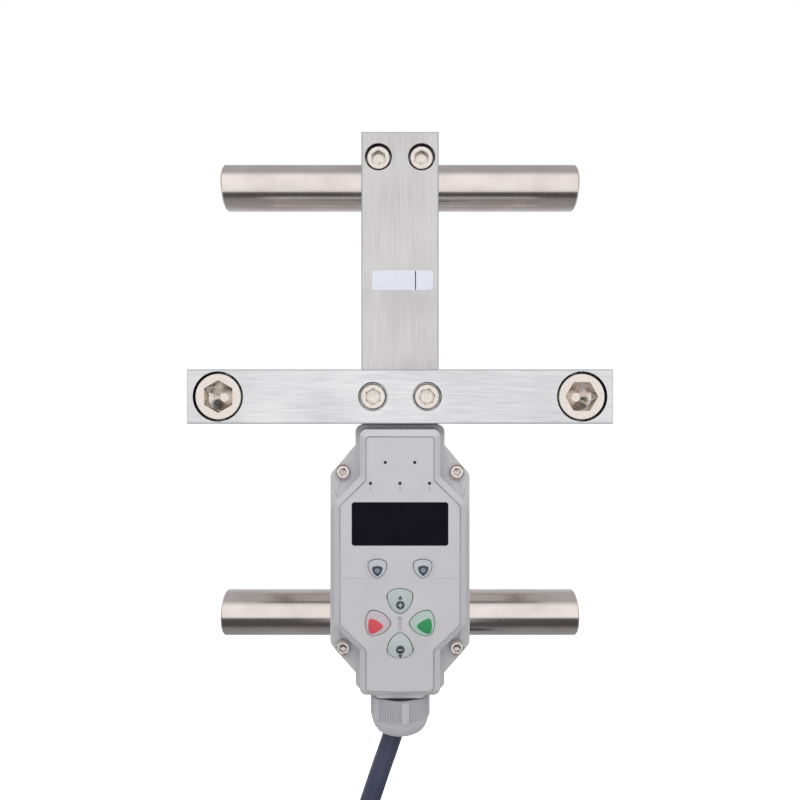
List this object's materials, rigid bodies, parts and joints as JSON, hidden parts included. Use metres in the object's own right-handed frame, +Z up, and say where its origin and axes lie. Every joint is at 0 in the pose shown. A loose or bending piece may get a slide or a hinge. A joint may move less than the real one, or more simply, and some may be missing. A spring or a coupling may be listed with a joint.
{
  "type": "elevator load cell",
  "caption": "Three-bar rope clamp load cell for elevator hoist ropes, with steel beam and crossbar, clamp bolts, display unit with keys, and a cable with a gland.",
  "frame": {"origin": "midway between the two clamp bolts, on the plane where the ropes touch the rear of the two round bars", "axes": "+Z up along the ropes, -Y the front with the display, +X to the right seen from the front"},
  "size_m": [0.22, 0.1421, 0.546],
  "materials": {
    "satin_steel": "fine vertical grain, satin",
    "polished_steel": "polished stainless steel",
    "brushed_steel": "brushed along the bar's length",
    "fastener_steel": "bright nickel-toned stainless steel",
    "label_film": "smooth polyester film",
    "gauge_foil": "thin foil",
    "white_insulation": "plain",
    "housing_plastic": "moulded, fine matt texture",
    "insert_brass": "turned",
    "black_rubber": "matt",
    "window_plastic": "dark, clear and glossy",
    "display_plastic": "plain",
    "board_green": "solder resist",
    "light_plastic": "dark when off",
    "key_rubber": "soft matt silicone",
    "red_key_rubber": "soft matt silicone with a printed red field",
    "green_key_rubber": "soft matt silicone with a printed green field",
    "terminal_green": "plain",
    "core_insulation": "plain",
    "gland_plastic": "moulded nylon",
    "cable_sheath": "smooth, slightly glossy sheath",
    "tie_nylon": "smooth nylon"
  },
  "bodies": {
    "frame": {"load_beam": "satin_steel", "upper_round_bar": "polished_steel", "lower_round_bar": "polished_steel", "upper_bar_screws": "fastener_steel", "lower_bar_screws": "fastener_steel", "crossbar": "brushed_steel", "crossbar_screws": "fastener_steel", "beam_label": "label_film", "strain_gauges": "gauge_foil", "gauge_lead": "white_insulation", "back_plate": "housing_plastic", "plate_screws": "fastener_steel", "threaded_inserts": "insert_brass", "housing_gasket": "black_rubber", "front_housing": "housing_plastic", "housing_screws": "fastener_steel", "display_window": "window_plastic", "display_module": "display_plastic", "circuit_board": "board_green", "board_screws": "fastener_steel", "status_lights": "light_plastic", "keypad_mat": "key_rubber", "tact_switches": "display_plastic", "terminal_block": "terminal_green", "inner_cores": "core_insulation", "gland_body": "gland_plastic", "gland_washer": "black_rubber", "gland_seal": "black_rubber", "gland_nut": "gland_plastic", "cable_lead": "cable_sheath", "cable_coil": "cable_sheath", "cable_tail": "cable_sheath", "cable_ties": "tie_nylon", "core_ends": "core_insulation"},
    "left_small_key": {"left_small_key": "key_rubber"},
    "right_small_key": {"right_small_key": "key_rubber"},
    "up_key": {"up_key": "key_rubber"},
    "down_key": {"down_key": "key_rubber"},
    "left_red_key": {"left_red_key": "red_key_rubber"},
    "right_green_key": {"right_green_key": "green_key_rubber"},
    "left_clamp_bolt": {"left_clamp_bolt": "fastener_steel"},
    "right_clamp_bolt": {"right_clamp_bolt": "fastener_steel"},
    "rear_clamp_bar": {"rear_clamp_bar": "polished_steel"}
  },
  "joints": [
    {"name": "left_bolt_turn", "type": "hinge", "parent": "frame", "child": "left_clamp_bolt", "pos_m": [-0.094, -0.0715, 0], "axis": [0, 1, 0], "range_deg": [-722, 2162]},
    {"name": "right_bolt_turn", "type": "hinge", "parent": "frame", "child": "right_clamp_bolt", "pos_m": [0.094, -0.0715, 0], "axis": [0, 1, 0], "range_deg": [-722, 2162]},
    {"name": "rear_bar_slide", "type": "slide", "parent": "frame", "child": "rear_clamp_bar", "axis": [0, -1, 0], "range_m": [-0.004, 0.012]},
    {"name": "left_small_key_press", "type": "slide", "parent": "frame", "child": "left_small_key", "axis": [0, 1, 0], "range_m": [0, 0.001], "stiffness_N_per_m": 900},
    {"name": "right_small_key_press", "type": "slide", "parent": "frame", "child": "right_small_key", "axis": [0, 1, 0], "range_m": [0, 0.001], "stiffness_N_per_m": 900},
    {"name": "up_key_press", "type": "slide", "parent": "frame", "child": "up_key", "axis": [0, 1, 0], "range_m": [0, 0.001], "stiffness_N_per_m": 900},
    {"name": "down_key_press", "type": "slide", "parent": "frame", "child": "down_key", "axis": [0, 1, 0], "range_m": [0, 0.001], "stiffness_N_per_m": 900},
    {"name": "left_red_key_press", "type": "slide", "parent": "frame", "child": "left_red_key", "axis": [0, 1, 0], "range_m": [0, 0.001], "stiffness_N_per_m": 900},
    {"name": "right_green_key_press", "type": "slide", "parent": "frame", "child": "right_green_key", "axis": [0, 1, 0], "range_m": [0, 0.001], "stiffness_N_per_m": 900}
  ],
  "couplings": [
    {"joint": "left_bolt_turn", "follows": "rear_bar_slide", "rad_per_m": 3141.6},
    {"joint": "right_bolt_turn", "follows": "rear_bar_slide", "rad_per_m": 3141.6}
  ]
}
